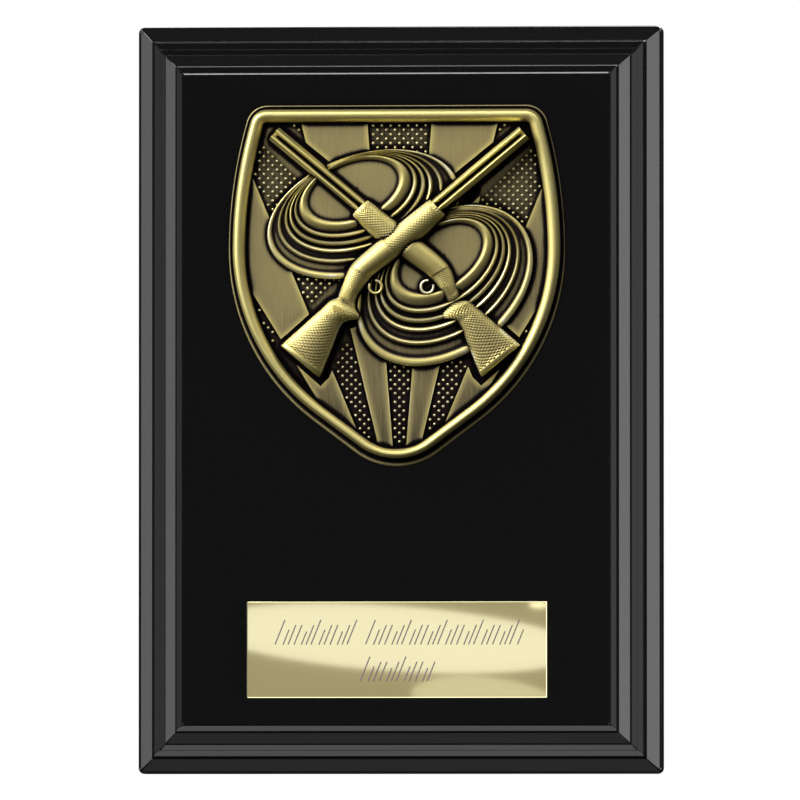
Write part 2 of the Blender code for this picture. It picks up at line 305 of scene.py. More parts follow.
def prism(name, outline, back, front):
    """A flat outline of (x, z) points, from one height over the back to another."""
    bm = bmesh.new()
    corners = [bm.verts.new((x, -back, z)) for x, z in outline]
    face = bm.faces.new(corners)
    grown = bmesh.ops.extrude_face_region(bm, geom=[face])
    moved = [v for v in grown["geom"] if isinstance(v, bmesh.types.BMVert)]
    bmesh.ops.translate(bm, vec=(0.0, back - front, 0.0), verts=moved)
    return new_object(name, bm)


def close_down(bm, height):
    """Close an open sheet with walls down to a height over the back."""
    rim_edges = [e for e in bm.edges if e.is_boundary]
    grown = bmesh.ops.extrude_edge_only(bm, edges=rim_edges)
    for v in grown["geom"]:
        if isinstance(v, bmesh.types.BMVert):
            v.co.y = -height
    bmesh.ops.contextual_create(bm, geom=[e for e in bm.edges if e.is_boundary])


def turned(profile, steps):
    """A profile of (radius, height) points spun once round the Z axis."""
    bm = bmesh.new()
    chain = [bm.verts.new((radius, 0.0, height)) for radius, height in profile]
    edges = [bm.edges.new(pair) for pair in zip(chain, chain[1:])]
    bmesh.ops.spin(bm, geom=chain + edges, cent=(0, 0, 0), axis=(0, 0, 1), angle=2 * pi,
                   steps=steps, use_merge=True)
    bmesh.ops.remove_doubles(bm, verts=bm.verts, dist=0.001)
    return bm


def banded(profile, outline_at, base):
    """A solid bounded by a profile of (inset, height) points in millimetres run
    round closed outlines, one for each inset."""
    outlines = {inset: outline_at(inset * MM) for inset, height in profile}
    steps = len(outlines[profile[0][0]])
    # spun far enough out that no inset, in millimetres, comes to the axis
    reach = 10.0
    bm = turned([(reach - inset, height) for inset, height in profile], steps)
    for v in bm.verts:
        inset = reach - hypot(v.co.x, v.co.y)
        number = round(atan2(v.co.y, v.co.x) / (2 * pi) * steps) % steps
        nearest = min(outlines, key=lambda known: abs(known - inset))
        x, z = outlines[nearest][number]
        v.co = (x, -(base + v.co.z * MM), z)
    bmesh.ops.holes_fill(bm, edges=[e for e in bm.edges if e.is_boundary], sides=0)
    return bm


def arc(x, z, radius, start, end, steps):
    """Points (x, z) along an arc, both ends among them."""
    turns = [start + (end - start) * i / steps for i in range(steps + 1)]
    return [(x + radius * cos(turn), z + radius * sin(turn)) for turn in turns]


# Moulded body

def rounded_profile(points, reach):
    """Cut each corner of a profile a little on both sides."""
    result = [points[0]]
    for before, here, after in zip(points, points[1:], points[2:]):
        for other in (before, after):
            away = hypot(other[0] - here[0], other[1] - here[1])
            share = min(reach / away, 0.3)
            result.append(tuple(h + (o - h) * share for h, o in zip(here, other)))
    return result + [points[-1]]


def keyhole_outline():
    """A round entry with a narrower slot that runs up from it."""
    meet = sqrt(KEYHOLE_ENTRY_RADIUS ** 2 - KEYHOLE_SLOT_RADIUS ** 2)
    lean = atan2(meet, KEYHOLE_SLOT_RADIUS)
    entry = arc(0.0, KEYHOLE_ENTRY_Z, KEYHOLE_ENTRY_RADIUS, pi - lean, 2 * pi + lean, 48)
    return entry + arc(0.0, KEYHOLE_SLOT_Z, KEYHOLE_SLOT_RADIUS, 0.0, pi, 24)


def body_outline(inset):
    """The outline of the body drawn in by an inset, with its corners eased."""
    radius = max(CORNER_RADIUS - inset, MITRE_RADIUS)
    x = BODY_WIDTH / 2 - inset - radius
    z = BODY_HEIGHT / 2 - inset - radius
    outline = []
    for side, up, start in ((1, 1, 0.0), (-1, 1, pi / 2), (-1, -1, pi), (1, -1, 1.5 * pi)):
        outline += arc(side * x, up * z, radius, start, start + pi / 2, CORNER_STEPS)
    return outline


def make_body():
    """A slab whose front is drawn in and up step by step, as the mould is cut."""
    profile = [(0.0, 0.0)] + rounded_profile(BORDER, EDGE_ROUNDING)
    bm = banded(profile, body_outline, 0.0)
    body = new_object("black_moulding", bm)
    keyhole = prism("keyhole", keyhole_outline(), -OVERCUT, KEYHOLE_DEPTH)
    combine(body, keyhole, "DIFFERENCE", "EXACT")
    body.data.shade_smooth()
    body.data.set_sharp_from_angle(angle=CREASE)
    even = body.modifiers.new("even_normals", "WEIGHTED_NORMAL")
    even.keep_sharp = True
    even.weight = 80
    return body


# Engraving plate

def stroke_places():
    """Rows of leaning marks in groups, as (x, z, length) from the plate's middle."""
    places = []
    for start, end, foot, height in STROKE_ROWS:
        count = round((end - start) / STROKE_PITCH)
        for i in range(count):
            length = height * STROKE_LENGTHS[i % len(STROKE_LENGTHS)]
            x = start + (i + 0.5) * STROKE_PITCH
            places.append((x * MM, (foot + length / 2) * MM, length * MM))
    return places


def make_strokes():
    """The cutter's path: thin round rods that graze the face of the plate."""
    bm = bmesh.new()
    bmesh.ops.create_cone(bm, cap_ends=True, segments=10, radius1=STROKE_RADIUS,
                          radius2=STROKE_RADIUS, depth=1.0)
    rod = bpy.data.meshes.new("rod")
    bm.to_mesh(rod)
    bm.free()
    bm = bmesh.new()
    face = PANEL_LEVEL + SEAT_GAP + PLATE_THICKNESS
    for x, z, length in stroke_places():
        spot = Vector((PLATE_X + x, -(face + STROKE_RADIUS - STROKE_DEPTH), PLATE_Z + z))
        place = (Matrix.Translation(spot) @ Matrix.Rotation(STROKE_LEAN, 4, "Y")
                 @ Matrix.Diagonal((1.0, 1.0, length, 1.0)))
        rod.transform(place)
        bm.from_mesh(rod)
        rod.transform(place.inverted())
    bpy.data.meshes.remove(rod)
    return new_object("strokes", bm)


def make_plate():
    """A sheet with eased edges and the cutter's strokes sunk in its face."""
    bm = bmesh.new()
    bmesh.ops.create_cube(bm, size=1.0)
    bmesh.ops.scale(bm, vec=(PLATE_WIDTH, PLATE_THICKNESS, PLATE_HEIGHT), verts=bm.verts)
    level = PANEL_LEVEL + SEAT_GAP + PLATE_THICKNESS / 2
    bmesh.ops.translate(bm, vec=(PLATE_X, -level, PLATE_Z), verts=bm.verts)
    bmesh.ops.bevel(bm, geom=list(bm.edges), offset=PLATE_EDGE, affect="EDGES", segments=3,
                    profile=0.5, material=-1)
    plate = new_object("engraved_plate", bm)
    strokes = make_strokes()
    plate.data.materials.append(polished_brass())
    strokes.data.materials.append(engraved_brass())
    combine(plate, strokes, "DIFFERENCE", "EXACT")
    return plate


# Relief shield

def shield_outline(inset, fineness=5):
    """The shield's outline drawn in by an inset, from the top middle round."""
    upper_x = SHIELD_HALF_WIDTH - UPPER_RADIUS
    lower_x = SHIELD_HALF_WIDTH - LOWER_RADIUS
    corner_z = SHIELD_TOP - SHOULDER_RADIUS
    corner_x = upper_x + sqrt((UPPER_RADIUS - SHOULDER_RADIUS) ** 2 - (corner_z - WIDEST_Z) ** 2)
    corner_turn = atan2(corner_z - WIDEST_Z, corner_x - upper_x)
    # the straight run touches the lower arc and the tip's arc
    tip_turn = LOWER_SLOPE - pi / 2
    run = lower_x * cos(tip_turn) + WIDEST_Z * sin(tip_turn) + LOWER_RADIUS
    tip_z = (run - TIP_RADIUS) / sin(tip_turn)
    top = SHIELD_TOP - inset
    right = [(corner_x * i / (4 * fineness), top) for i in range(4 * fineness)]
    right += arc(corner_x, corner_z, SHOULDER_RADIUS - inset, pi / 2, corner_turn, 3 * fineness)
    right += arc(upper_x, WIDEST_Z, UPPER_RADIUS - inset, corner_turn, 0.0, 4 * fineness)[1:]
    right += arc(lower_x, WIDEST_Z, LOWER_RADIUS - inset, 0.0, tip_turn, 7 * fineness)[1:]
    right += arc(0.0, tip_z, TIP_RADIUS - inset, tip_turn, -pi / 2, 3 * fineness)
    left = [(-x, z) for x, z in reversed(right[1:-1])]
    return [(SHIELD_X + x, z) for x, z in right + left]


def rim_outline(inset):
    """The outline of the rim at an inset: the roll narrows towards the tip."""
    plain = shield_outline(inset)
    if inset < RIM_FLANGE:
        return plain
    low = min(z for x, z in plain)
    outline = []
    for here, further in zip(plain, shield_outline(inset + RIM_TAPER * (RIM_WIDTH - inset))):
        share = max(WIDEST_Z - here[1], 0.0) / (WIDEST_Z - low)
        outline.append(tuple(h + (f - h) * share for h, f in zip(here, further)))
    return outline


def make_rim():
    """The blank of the shield: a slab with a rolled rim all round."""
    return new_object("gold_relief", banded(RIM, rim_outline, PANEL_LEVEL))


def flat_sheet(name, x_cells, z_cells, place, top, foot):
    """A fine grid laid by a function of two shares, closed into a slab."""
    bm = bmesh.new()
    bmesh.ops.create_grid(bm, x_segments=x_cells, y_segments=z_cells, size=0.5)
    for v in bm.verts:
        x, z = place(v.co.x + 0.5, v.co.y + 0.5)
        v.co = (x, -(PANEL_LEVEL + top), z)
    close_down(bm, PANEL_LEVEL + foot)
    return new_object(name, bm)


def make_ground():
    """The low ground between the rays."""
    half = SHIELD_HALF_WIDTH
    low = WIDEST_Z - LOWER_RADIUS
    high = SHIELD_TOP

    def place(u, v):
        return (SHIELD_X + (2 * u - 1) * half, low + (high - low) * v)

    return flat_sheet("ground", int(2 * half / CELL), int((high - low) / CELL), place,
                      GROUND_LEVEL, GROUND_LEVEL - GROUND_THICKNESS)


def make_ray(start, end):
    """One smooth ray, between two turns from upright."""
    def place(u, v):
        turn = radians(start + (end - start) * u)
        reach = RAY_START + (RAY_REACH - RAY_START) * v
        return (ART_X + reach * sin(turn), FOCUS_Z + reach * cos(turn))

    return flat_sheet("ray", RAY_ACROSS, int((RAY_REACH - RAY_START) / RAY_CELL), place,
                      RAY_LEVEL, GROUND_LEVEL - RAY_ROOT)


def clay_ring(outer, inner, share, turn):
    """The ellipse at a share of the way from the disc's edge to its ring."""
    mix = min(share, 1.0)
    x, z, wide, narrow, tilt = [a + (b - a) * mix for a, b in zip(outer, inner)]
    shrink = 1.0 - max(share - 1.0, 0.0)
    u = wide * shrink * cos(turn)
    v = narrow * shrink * sin(turn)
    lean = radians(tilt)
    return (ART_X + (x + u * cos(lean) - v * sin(lean)) * MM,
            (z + u * sin(lean) + v * cos(lean)) * MM)


def bump(share, middle, half):
    """A smooth ridge, 1 on its crest and 0 at its feet."""
    away = min(abs(share - middle) / half, 1.0)
    return 0.5 + 0.5 * cos(pi * away)


def clay_rise(share):
    """The rise of the ridges over the disc's slope, in millimetres."""
    if share > RING_FROM:
        return 0.0
    rise = -SLOPE_SINK
    rise += LIP_RISE * bump(share, CLAY_LIP, LIP_HALF) if share > CLAY_LIP else LIP_RISE
    for ridge in CLAY_RIDGES:
        rise += RIDGE_RISE * bump(share, ridge, RIDGE_HALF)
    return rise


def clay_height(share, levels):
    """The disc's slope, thick ring and flat middle, in millimetres."""
    lip, ring, middle = levels
    if share <= RING_FROM:
        return lip + (ring - lip) * share - 0.05
    if share < RING_TO:
        crest = bump(share, 1.0, RING_HALF) ** 0.75
        floor = -RING_GROOVE if share < 1.0 else middle - ring
        return ring + floor * (1.0 - crest)
    return middle


def make_clay(outer, inner, levels):
    """A clay disc seen aslant: a turned profile drawn out to its ellipses."""
    # fine rings over the ridges, coarser ones over the flat middle
    shares = [0.0, 0.012, 0.03] + [0.05 + 1.12 * i / 72 for i in range(73)]
    shares += [1.19 + 0.038 * i for i in range(19)]
    profile = [(0.0, 0.0), (2.0, 0.0)]
    profile += [(2.0 - share, 1.0 + i) for i, share in enumerate(shares)] + [(0.0, 1.0 + len(shares))]
    room = []
    for i in range(CLAY_STEPS):
        turn = 2 * pi * i / CLAY_STEPS
        edge = clay_ring(outer, inner, 0.0, turn)
        crest = clay_ring(outer, inner, 1.0, turn)
        room.append(min(1.0, hypot(edge[0] - crest[0], edge[1] - crest[1]) / RIDGE_ROOM))
    bm = turned(profile, CLAY_STEPS)
    for v in bm.verts:
        share = 2.0 - hypot(v.co.x, v.co.y)
        turn = atan2(v.co.y, v.co.x)
        free = room[round(turn / (2 * pi) * CLAY_STEPS) % CLAY_STEPS]
        x, z = clay_ring(outer, inner, share, turn)
        level = FOOT_LEVEL
        if v.co.z > 0.5:
            level = (clay_height(share, levels) + clay_rise(share) * free) * MM
            # the outermost rings round off the disc's edge
            if share < 0.02:
                level -= (0.25 - 12 * share) * MM
        v.co = (x, -(PANEL_LEVEL + level), z)
    return new_object("clay", bm)


def curve_through(stations, spacing):
    """Stations on a smooth curve through the given ones, about evenly spaced,
    each with its place counted in the given stations."""
    ends = [stations[0]] + stations + [stations[-1]]
    result = []
    for number, (before, start, end, after) in enumerate(zip(ends, ends[1:], ends[2:], ends[3:])):
        length = max(hypot(start[0] - end[0], start[1] - end[1]),
                     hypot(start[2] - end[2], start[3] - end[3])) * MM
        steps = max(1, round(length / spacing))
        for i in range(steps):
            t = i / steps
            point = tuple(
                b + t * (c - a) / 2 + t * t * (a - 2.5 * b + 2 * c - d / 2)
                + t ** 3 * (1.5 * (b - c) + (d - a) / 2)
                for a, b, c, d in zip(before, start, end, after))
            result.append((point, number + t))
    return result + [(stations[-1], len(stations) - 1.0)]


def shift_back(stations):
    """The gun behind sits further out from its receiver back."""
    return [(a - BACK_GUN_SHIFT, b, c - BACK_GUN_SHIFT, d, crown) if a < 0.0
            else (a, b, c, d, crown) for a, b, c, d, crown in stations]


def gun_sheet(name, stations, across, side, drop, surface):
    """A grid laid over a gun, closed down to the foot. surface gives the share
    across and the rise for a turn over the top."""
    bm = bmesh.new()
    along = len(stations) - 1
    bmesh.ops.create_grid(bm, x_segments=along, y_segments=across, size=0.5)
    for v in bm.verts:
        i = round((v.co.x + 0.5) * along)
        j = round((v.co.y + 0.5) * across)
        (upper_x, upper_z, lower_x, lower_z, crown), place = stations[i]
        turn = pi * j / across
        share, rise = surface(turn)
        extra = CHECKER_RISE * (checkering(i, j) - 0.5) if is_checkered(place, turn) else 0.0
        x = lower_x + (upper_x - lower_x) * share
        z = lower_z + (upper_z - lower_z) * share
        height = FOOT_LEVEL + (crown * MM - drop) * rise + extra
        v.co = (ART_X + side * x * MM, -(PANEL_LEVEL + height), z * MM)
    close_down(bm, PANEL_LEVEL + FOOT_LEVEL)
    return new_object(name, bm)


def checkering(i, j):
    """Small pyramids in a diamond lattice, four cells of the grid from peak to peak."""
    return 0.5 * cos(pi * i / 2) * cos(pi * j / 2)


def is_checkered(place, turn):
    """Whether the checkering covers this place along and across the stock."""
    if place is None:
        return False
    return any(a < place < b for a, b in CHECKERED) and CHECKERED_FROM < turn < CHECKERED_TO


def round_top(turn):
    """Share across and rise of a rounded back on a straight shoulder."""
    return (1.0 - cos(turn)) / 2, SHOULDER + (1.0 - SHOULDER) * sin(turn)


def two_tubes(turn):
    """Share across and rise of two tubes side by side with a groove between."""
    groove = BARREL_GROOVE if abs(turn - pi / 2) < pi / 4 else SHOULDER
    return turn / pi, max(groove, SHOULDER + (1.0 - SHOULDER) * abs(sin(2 * turn)))


def make_gun(side, drop, stations):
    """The barrels and the stock of one gun, as two closed pieces."""
    length = hypot(BARRELS[0][0] - BARRELS[1][0], BARRELS[0][1] - BARRELS[1][1]) * MM
    steps = round(length / BARREL_STEP)
    barrels = []
    for i in range(steps + 1):
        t = i / steps
        barrels.append((tuple(a + (b - a) * t for a, b in zip(*BARRELS)), None))
    return [
        gun_sheet("barrels", barrels, BARREL_ACROSS, side, drop, two_tubes),
        gun_sheet("stock", curve_through(stations, CHECKER_STEP), STOCK_ACROSS, side, drop, round_top),
    ]


def gun_outline(side, stations, above, below):
    """The outline of a gun seen from the front, grown by a moat on each side."""
    line = BARRELS[:1] + stations[1:]
    upper = [Vector((s[0] * MM, s[1] * MM)) for s in line]
    lower = [Vector((s[2] * MM, s[3] * MM)) for s in line]

    def grown(points, reach, hand):
        result = []
        for i, here in enumerate(points):
            run = (points[min(i + 1, len(points) - 1)] - points[max(i - 1, 0)]).normalized()
            out = Vector((run.y, -run.x)) * hand
            over = -MOAT_ENDS if i == 0 else MOAT_ENDS if i == len(points) - 1 else 0.0
            result.append(here + out * reach + run * over)
        return result

    around = grown(upper, above, 1.0) + list(reversed(grown(lower, below, -1.0)))
    return [(ART_X + side * p.x, p.y) for p in around]


def distance_to(outline, x, z):
    """The distance from a point to a closed outline, negative inside."""
    spot = Vector((x, z))
    nearest = 1.0
    inside = False
    for a, b in zip(outline, outline[1:] + outline[:1]):
        a, b = Vector(a), Vector(b)
        run = b - a
        share = max(0.0, min(1.0, (spot - a).dot(run) / run.length_squared))
        nearest = min(nearest, (spot - a - run * share).length)
        if (a.y > z) != (b.y > z) and x < a.x + run.x * (z - a.y) / run.y:
            inside = not inside
    return -nearest if inside else nearest


def rough_ground(x, z):
    """Whether a pimple may stand here: off the smooth rays."""
    turn = atan2(x - ART_X, z - FOCUS_Z)
    reach = hypot(x - ART_X, z - FOCUS_Z)
    margin = PIMPLE_RAY_GAP / max(reach, FOCUS_ROOM)
    return all(not radians(a) - margin < turn < radians(b) + margin for a, b in RAYS)


def make_pimples(guns):
    """All the pimples of the rough ground, as one mesh of little domes."""
    field = shield_outline(FIELD_INSET + PIMPLE_RIM_GAP, 1)
    dome = make_dome()
    spot = Vector()
    bm = bmesh.new()
    rows = int((SHIELD_TOP - (WIDEST_Z - LOWER_RADIUS)) / PIMPLE_ROW)
    columns = int(SHIELD_HALF_WIDTH / PIMPLE_PITCH) + 1
    for row in range(rows):
        z = SHIELD_TOP - FIRST_PIMPLE_ROW - row * PIMPLE_ROW
        for column in range(-columns, columns + 1):
            x = ART_X + (column + 0.5 * (row % 2)) * PIMPLE_PITCH
            if not rough_ground(x, z) or distance_to(field, x, z) > 0:
                continue
            if min(distance_to(gun, x, z) for gun in guns) < PIMPLE_CLEARANCE:
                continue
            here = Vector((x, -(PANEL_LEVEL + GROUND_LEVEL), z))
            dome.transform(Matrix.Translation(here - spot))
            spot = here
            bm.from_mesh(dome)
    bpy.data.meshes.remove(dome)
    return new_object("pimples", bm)


def make_dome():
    """One pimple, a low dome that stands towards the viewer."""
    bm = bmesh.new()
    bmesh.ops.create_uvsphere(bm, u_segments=8, v_segments=6, radius=1.0)
    size = Matrix.Diagonal((PIMPLE_RADIUS, PIMPLE_RADIUS, PIMPLE_HEIGHT, 1.0))
    bmesh.ops.transform(bm, matrix=Matrix.Rotation(pi / 2, 4, "X") @ size, verts=bm.verts)
    mesh = bpy.data.meshes.new("pimple")
    bm.to_mesh(mesh)
    bm.free()
    return mesh


def make_guard(x, drop, start):
    """A trigger guard: a thin open ring of round wire on a low wall."""
    crown = GUARD_CROWN - drop
    profile = [(GUARD_RADIUS + GUARD_WIRE, FOOT_LEVEL)]
    profile += [(GUARD_RADIUS + GUARD_WIRE * cos(turn), FOOT_LEVEL + crown - GUARD_WIRE * (1 - sin(turn)))
                for turn in (0.0, pi / 4, pi / 2, 3 * pi / 4, pi)]
    profile += [(GUARD_RADIUS - GUARD_WIRE, FOOT_LEVEL)]
    bm = bmesh.new()
    ring = [bm.verts.new((radius, 0.0, height)) for radius, height in profile]
    edges = [bm.edges.new(pair) for pair in zip(ring, ring[1:] + ring[:1])]
    bmesh.ops.spin(bm, geom=ring + edges, cent=(0, 0, 0), axis=(0, 0, 1), angle=GUARD_SWEEP, steps=30)
    bmesh.ops.holes_fill(bm, edges=[e for e in bm.edges if e.is_boundary], sides=0)
    place = Matrix.Translation((ART_X + x * MM, -PANEL_LEVEL, GUARD_Z * MM))
    turn = Matrix.Rotation(pi / 2, 4, "X") @ Matrix.Rotation(start, 4, "Z")
    bmesh.ops.transform(bm, matrix=place @ turn, verts=bm.verts)
    return new_object("guard", bm)


def relief_map(tree, step):
    """Heights over the panel on a fine grid, as a brush would feel them."""
    low_x = SHIELD_X - SHIELD_HALF_WIDTH - PATINA_MARGIN
    low_z = WIDEST_Z - LOWER_RADIUS - PATINA_MARGIN
    across = int(2 * (SHIELD_HALF_WIDTH + PATINA_MARGIN) / step)
    up = int((SHIELD_TOP - low_z + PATINA_MARGIN) / step)
    heights = numpy.full((across, up), PATINA_ROUND)
    ahead = Vector((0.0, 1.0, 0.0))
    for i in range(across):
        for j in range(up):
            start = Vector((low_x + i * step, -(PANEL_LEVEL + BRUSH_REACH), low_z + j * step))
            hit = tree.ray_cast(start, ahead, BRUSH_REACH)
            if hit[0] is not None:
                heights[i, j] = -hit[0].y - PANEL_LEVEL
    return heights, low_x, low_z


def blurred(heights, cells):
    """The map smoothed over a square of cells each way, three times over."""
    for axis in (0, 1):
        for again in range(3):
            padded = numpy.insert(numpy.cumsum(heights, axis=axis), 0, 0.0, axis=axis)
            size = heights.shape[axis]
            first = numpy.clip(numpy.arange(size) - cells, 0, size)
            last = numpy.clip(numpy.arange(size) + cells + 1, 0, size)
            sums = numpy.take(padded, last, axis=axis) - numpy.take(padded, first, axis=axis)
            counts = (last - first).reshape((-1, 1) if axis == 0 else (1, -1))
            heights = sums / counts
    return heights


def read_map(heights, i, j):
    """The map's value between its four nearest points."""
    i = min(max(i, 0.0), heights.shape[0] - 1.001)
    j = min(max(j, 0.0), heights.shape[1] - 1.001)
    left, low = int(i), int(j)
    u, v = i - left, j - low
    lower = heights[left, low] * (1 - u) + heights[left + 1, low] * u
    upper = heights[left, low + 1] * (1 - u) + heights[left + 1, low + 1] * u
    return lower * (1 - v) + upper * v


def add_patina(item):
    """Store on each point how far it stands out of what is round it, near and
    further off: 0 in a pit, 0.5 on a flat, 1 on a crest."""
    bm = bmesh.new()
    bm.from_mesh(item.data)
    tree = BVHTree.FromBMesh(bm)
    step = PATINA_STEP
    heights, low_x, low_z = relief_map(tree, step)
    wide = blurred(heights, round(PATINA_WIDE / step))
    floor = numpy.minimum(heights, blurred(heights, PATINA_CLIP_CELLS) + PATINA_CLIP)
    near = blurred(floor, round(PATINA_NEAR / step))
    stands = []
    broad = []
    for v in bm.verts:
        i = (v.co.x - low_x) / step
        j = (v.co.z - low_z) / step
        height = -v.co.y - PANEL_LEVEL
        stands.append(0.5 + 0.5 * (height - read_map(near, i, j)) / PATINA_NEAR_RISE)
        broad.append(0.5 + 0.5 * (height - read_map(wide, i, j)) / PATINA_WIDE_RISE)
    bm.free()
    for name, values in (("stands", stands), ("broad", broad)):
        stored = item.data.attributes.new(name, "FLOAT", "POINT")
        stored.data.foreach_set("value", [min(max(value, 0.0), 1.0) for value in values])


def make_shield():
    """The casting: blank, sunburst, discs, pimples and guns in one body."""
    front = gun_outline(1, STOCK, MOAT_ABOVE, MOAT_BELOW)
    back = gun_outline(-1, shift_back(STOCK), MOAT_ABOVE, MOAT_BELOW)
    bare = [gun_outline(1, STOCK, 0.0, 0.0), gun_outline(-1, shift_back(STOCK), 0.0, 0.0)]
    field = make_ground()
    for start, end in RAYS:
        combine(field, make_ray(start, end), "UNION")
    ground = PANEL_LEVEL + GROUND_LEVEL
    ceiling = PANEL_LEVEL + FIELD_HEADROOM
    combine(field, prism("field", shield_outline(FIELD_INSET), PANEL_LEVEL, ceiling), "INTERSECT")
    for outline in (front, back):
        combine(field, prism("moat", outline, ground, ceiling), "DIFFERENCE")
    combine(field, make_pimples(bare), "UNION")
    shield = make_rim()
    combine(shield, field, "UNION")
    for outer, inner, levels in CLAYS:
        combine(shield, make_clay(outer, inner, levels), "UNION")
    parts = make_gun(-1, BACK_GUN_DROP, shift_back(STOCK)) + make_gun(1, 0.0, STOCK)
    parts.append(make_guard(FRONT_GUARD_X, 0.0, radians(150)))
    parts.append(make_guard(BACK_GUARD_X, BACK_GUARD_DROP, radians(80)))
    for part in parts:
        combine(shield, part, "UNION")
    add_patina(shield)
    shield.data.shade_smooth()
    shield.data.set_sharp_from_angle(angle=RELIEF_CREASE)
    return shield


# Materials

def new_material(name):
    """A material with its node tree and its one shader."""
    material = bpy.data.materials.new(name)
    material.use_nodes = True
    tree = material.node_tree
    return material, tree, tree.nodes["Principled BSDF"]


def gloss_black_styrene():
    """Gloss black polystyrene, moulded in a polished tool: mirror-like, with a
    faint waviness and a trace of dust."""
    material, tree, shader = new_material("gloss black polystyrene")
    shader.inputs["Base Color"].default_value = linear("#171718")
    shader.inputs["IOR"].default_value = 1.59
    place = add_node(tree, "ShaderNodeTexCoord")
    # swells of the tool, about 17 mm across
    wave = add_node(tree, "ShaderNodeTexNoise", {"Scale": 0.06 / MM, "Detail": 1.0},
                    Vector=place.outputs["Object"])
    bump_node = add_node(tree, "ShaderNodeBump", {"Strength": 0.03, "Distance": 0.2 * MM},
                         Height=wave.outputs["Fac"])
    tree.links.new(bump_node.outputs["Normal"], shader.inputs["Normal"])
    # dust in flecks of a millimetre, far coarser than real dust, so that it shows
    dust = add_node(tree, "ShaderNodeTexNoise", {"Scale": 0.9 / MM, "Detail": 3.0},
                    Vector=place.outputs["Object"])
    film = add_node(tree, "ShaderNodeMapRange", {"From Min": 0.35, "From Max": 0.75, "To Min": 0.08,
                                                 "To Max": 0.16}, Value=dust.outputs["Fac"])
    tree.links.new(film.outputs["Result"], shader.inputs["Roughness"])
    return material


def antique_gold():
    """Zinc casting plated antique gold: brushed, blackened in its recesses and
    rubbed bright on its crests, so the relief reads as light on dark."""
    material, tree, shader = new_material("antique gold plated casting")
    shader.inputs["Metallic"].default_value = 1.0
    place = add_node(tree, "ShaderNodeTexCoord")
    # brush marks a quarter of a millimetre wide and 4 mm long, drawn coarser
    # than the real ones so that they show
    stretch = add_node(tree, "ShaderNodeMapping", {"Scale": (4.2 / MM, 0.9 / MM, 0.24 / MM)},
                       Vector=place.outputs["Object"])
    streaks = add_node(tree, "ShaderNodeTexNoise", {"Scale": 1.0, "Detail": 3.0, "Roughness": 0.6},
                       Vector=stretch.outputs["Vector"])
    # the grain of the casting, 0.4 mm
    grain = add_node(tree, "ShaderNodeTexNoise", {"Scale": 2.6 / MM, "Detail": 3.0},
                     Vector=place.outputs["Object"])
    stands = add_node(tree, "ShaderNodeAttribute", {"attribute_name": "stands"})
    broad = add_node(tree, "ShaderNodeAttribute", {"attribute_name": "broad"})
    both = add_node(tree, "ShaderNodeMath", {"operation": "ADD"})
    tree.links.new(stands.outputs["Fac"], both.inputs[0])
    tree.links.new(broad.outputs["Fac"], both.inputs[1])
    half = add_node(tree, "ShaderNodeMath", {"operation": "MULTIPLY_ADD", 1: 0.5, 2: -0.03})
    tree.links.new(both.outputs["Value"], half.inputs[0])
    marked = add_node(tree, "ShaderNodeMath", {"operation": "MULTIPLY_ADD", 1: 0.06})
    tree.links.new(streaks.outputs["Fac"], marked.inputs[0])
    tree.links.new(half.outputs["Value"], marked.inputs[2])
    # darker towards the bottom
    spot = add_node(tree, "ShaderNodeSeparateXYZ", Vector=place.outputs["Object"])
    less = add_node(tree, "ShaderNodeMapRange", {"From Min": -10 * MM, "From Max": 22 * MM, "To Min": -0.08,
                                                 "To Max": 0.0}, Value=spot.outputs["Z"])
    depth = add_node(tree, "ShaderNodeMath", {"operation": "ADD"})
    tree.links.new(less.outputs["Result"], depth.inputs[0])
    tree.links.new(marked.outputs["Value"], depth.inputs[1])
    colour = add_node(tree, "ShaderNodeValToRGB", Fac=depth.outputs["Value"])
    ramp = colour.color_ramp
    ramp.elements[0].position = 0.30
    ramp.elements[0].color = linear("#110d0f")
    ramp.elements[1].position = 0.88
    ramp.elements[1].color = linear("#efe39a")
    for position, shade in ((0.40, "#2a2422"), (0.475, "#9a8e66"), (0.62, "#cfc17c")):
        element = ramp.elements.new(position)
        element.color = linear(shade)
    # painted highlight: small tips on open ground are painted near-white for the light they catch
    open_ground = add_node(tree, "ShaderNodeMath", {"operation": "SUBTRACT", 1: 0.515})
    tree.links.new(broad.outputs["Fac"], open_ground.inputs[0])
    away = add_node(tree, "ShaderNodeMath", {"operation": "ABSOLUTE"})
    tree.links.new(open_ground.outputs["Value"], away.inputs[0])
    highlight_mask = add_node(tree, "ShaderNodeMath", {"operation": "MULTIPLY_ADD", 1: -6.0})
    tree.links.new(away.outputs["Value"], highlight_mask.inputs[0])
    tree.links.new(stands.outputs["Fac"], highlight_mask.inputs[2])
    painted_tip_highlight = add_node(tree, "ShaderNodeMapRange", {"From Min": 0.75, "From Max": 1.0, "To Min": 0.0,
                                                 "To Max": 0.9}, Value=highlight_mask.outputs["Value"])
    metal = add_node(tree, "ShaderNodeMix", {"data_type": "RGBA", 7: linear("#fff9e2")})
    tree.links.new(painted_tip_highlight.outputs["Result"], metal.inputs[0])
    tree.links.new(colour.outputs["Color"], metal.inputs[6])
    tree.links.new(metal.outputs[2], shader.inputs["Base Color"])
    dull = add_node(tree, "ShaderNodeMapRange", {"From Min": 0.3, "From Max": 0.9, "To Min": 0.66,
                                                 "To Max": 0.48}, Value=depth.outputs["Value"])
    tree.links.new(dull.outputs["Result"], shader.inputs["Roughness"])
    height = add_node(tree, "ShaderNodeMix", {"data_type": "FLOAT", 0: 0.35})
    tree.links.new(streaks.outputs["Fac"], height.inputs[2])
    tree.links.new(grain.outputs["Fac"], height.inputs[3])
    bump_node = add_node(tree, "ShaderNodeBump", {"Strength": 0.35, "Distance": 0.06 * MM})
    tree.links.new(height.outputs[0], bump_node.inputs["Height"])
    tree.links.new(bump_node.outputs["Normal"], shader.inputs["Normal"])
    return material


